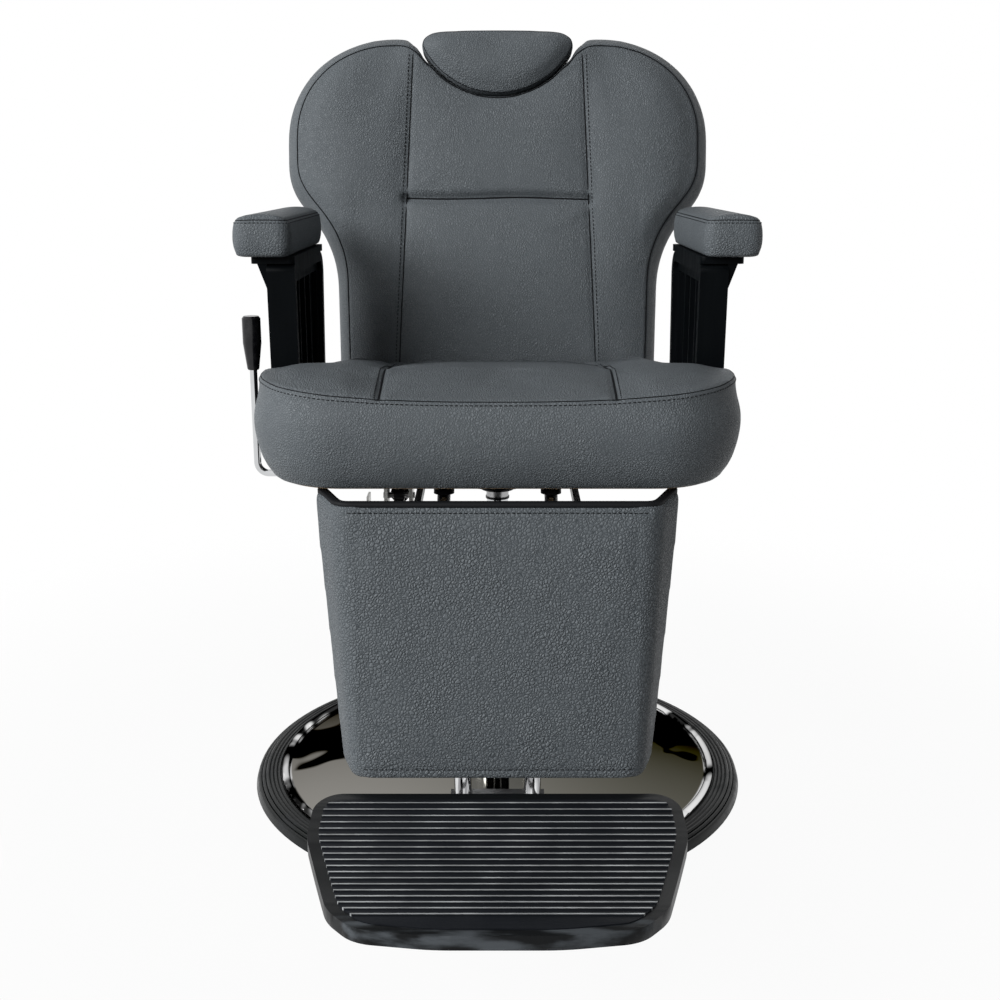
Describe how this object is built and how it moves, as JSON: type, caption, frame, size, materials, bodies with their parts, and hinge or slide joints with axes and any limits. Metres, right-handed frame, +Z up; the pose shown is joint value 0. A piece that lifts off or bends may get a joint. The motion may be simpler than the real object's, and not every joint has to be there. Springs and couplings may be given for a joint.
{
  "type": "hydraulic barber chair",
  "caption": "Reclining barber chair: padded seat, notched back with headrest, padded arms, leg rest with ribbed footrest, on a hydraulic column and round chromed base.",
  "frame": {"origin": "on the floor, on the axis of the column", "axes": "+Z up; the sitter faces -Y; +X is to the right seen from the front"},
  "size_m": [0.6999, 1, 1.0514],
  "materials": {
    "leather": "fine pebbled grain, satin",
    "chrome": "mirror plated",
    "steel": "turned",
    "tray": "bright zinc",
    "black_steel": "satin black",
    "iron": "painted black",
    "board": "birch plywood",
    "rubber": "matt, ribbed",
    "arm_plastic": "satin black",
    "foot_alloy": "cast, coated satin black"
  },
  "bodies": {
    "base": {"base_ring": "rubber", "base_plate": "iron", "base_cover": "chrome", "pump_cylinder": "iron", "flange_bolts": "steel", "pump_shroud": "chrome", "shroud_cap": "chrome", "gland_bush": "steel", "wiper_seal": "rubber", "lever_pin": "steel"},
    "pump_lever": {"pump_lever": "iron"},
    "plunger": {"pump_plunger": "chrome"},
    "piston": {"ram": "chrome", "ram_piston": "steel", "thrust_washer": "black_steel", "retaining_bolt": "steel"},
    "seat": {"swivel_collar": "chrome", "swivel_hub": "black_steel", "underframe": "black_steel", "seat_board": "board", "seat_cushion": "leather", "arm_frame_left": "arm_plastic", "arm_frame_right": "arm_plastic", "arm_pad_left": "leather", "arm_pad_right": "leather", "arm_bolts": "steel", "hinge_brackets": "black_steel", "recline_shaft": "steel", "strut_tubes": "chrome", "strut_sockets": "black_steel", "leg_shaft": "steel", "lock_brackets": "black_steel", "lock_tray": "tray", "spring_pin": "steel"},
    "release": {"lever_rod": "chrome", "lever_grip": "arm_plastic", "release_cam": "black_steel"},
    "backrest": {"back_cushion": "leather", "back_board": "board", "back_shell": "leather", "back_frame": "black_steel", "back_pins": "steel", "headrest_guides": "steel"},
    "headrest": {"head_cushion": "leather", "head_plate": "black_steel", "head_posts": "chrome"},
    "leg_rest": {"leg_pad": "leather", "leg_board": "board", "leg_yoke": "black_steel", "leg_pins": "steel", "leg_tubes": "chrome", "leg_clamps": "black_steel", "foot_bracket": "black_steel", "foot_pin": "steel"},
    "footrest": {"foot_plate": "foot_alloy", "foot_mat": "rubber"},
    "coupling_rods": {"coupling_rods": "black_steel"},
    "gas_cylinder": {"spring_body": "black_steel"},
    "gas_rod": {"spring_rod": "chrome"}
  },
  "joints": [
    {"name": "lift", "type": "slide", "parent": "base", "child": "piston", "axis": [0, 0, 1], "range_m": [0, 0.16]},
    {"name": "swivel", "type": "hinge", "parent": "piston", "child": "seat", "pos_m": [0, 0, 0.43], "axis": [0, 0, 1], "continuous": true},
    {"name": "recline", "type": "hinge", "parent": "seat", "child": "backrest", "pos_m": [0, 0.215, 0.45], "axis": [-1, 0, 0], "range_deg": [0, 40]},
    {"name": "headrest_height", "type": "slide", "parent": "backrest", "child": "headrest", "axis": [0, 0.1736, 0.9848], "range_m": [0, 0.11]},
    {"name": "leg_lift", "type": "hinge", "parent": "seat", "child": "leg_rest", "pos_m": [0, -0.262, 0.436], "axis": [-1, 0, 0], "range_deg": [0, 40]},
    {"name": "footrest_fold", "type": "hinge", "parent": "leg_rest", "child": "footrest", "pos_m": [0, -0.357, 0.119], "axis": [-1, 0, 0], "range_deg": [0, 60]},
    {"name": "rod_pivot", "type": "hinge", "parent": "backrest", "child": "coupling_rods", "pos_m": [0, 0.215, 0.48], "axis": [-1, 0, 0], "range_deg": [-40, 0]},
    {"name": "gas_cylinder_pivot", "type": "hinge", "parent": "seat", "child": "gas_cylinder", "pos_m": [-0.135, -0.03, 0.424], "axis": [-1, 0, 0], "range_deg": [-2.84, 0]},
    {"name": "gas_rod_pivot", "type": "hinge", "parent": "backrest", "child": "gas_rod", "pos_m": [-0.135, 0.215, 0.405], "axis": [-1, 0, 0], "range_deg": [-42.84, 0]},
    {"name": "release_pull", "type": "hinge", "parent": "seat", "child": "release", "pos_m": [-0.3, -0.02, 0.453], "axis": [-1, 0, 0], "range_deg": [0, 25], "stiffness_Nm_per_rad": 2, "springref_deg": -14.32},
    {"name": "pump_stroke", "type": "hinge", "parent": "base", "child": "pump_lever", "pos_m": [0, 0.06204, 0.076], "axis": [-1, 0, 0], "range_deg": [0, 8], "stiffness_Nm_per_rad": 25, "springref_deg": -6.88},
    {"name": "plunger_stroke", "type": "slide", "parent": "base", "child": "plunger", "axis": [0, 0, -1], "range_m": [0, 0.0035]}
  ],
  "couplings": [
    {"joint": "leg_lift", "follows": "recline", "ratio": 1},
    {"joint": "rod_pivot", "follows": "recline", "ratio": -1},
    {"joint": "gas_cylinder_pivot", "follows": "recline", "ratio": -0.071},
    {"joint": "gas_rod_pivot", "follows": "recline", "ratio": -1.071},
    {"joint": "plunger_stroke", "follows": "pump_stroke", "m_per_rad": 0.02356}
  ]
}
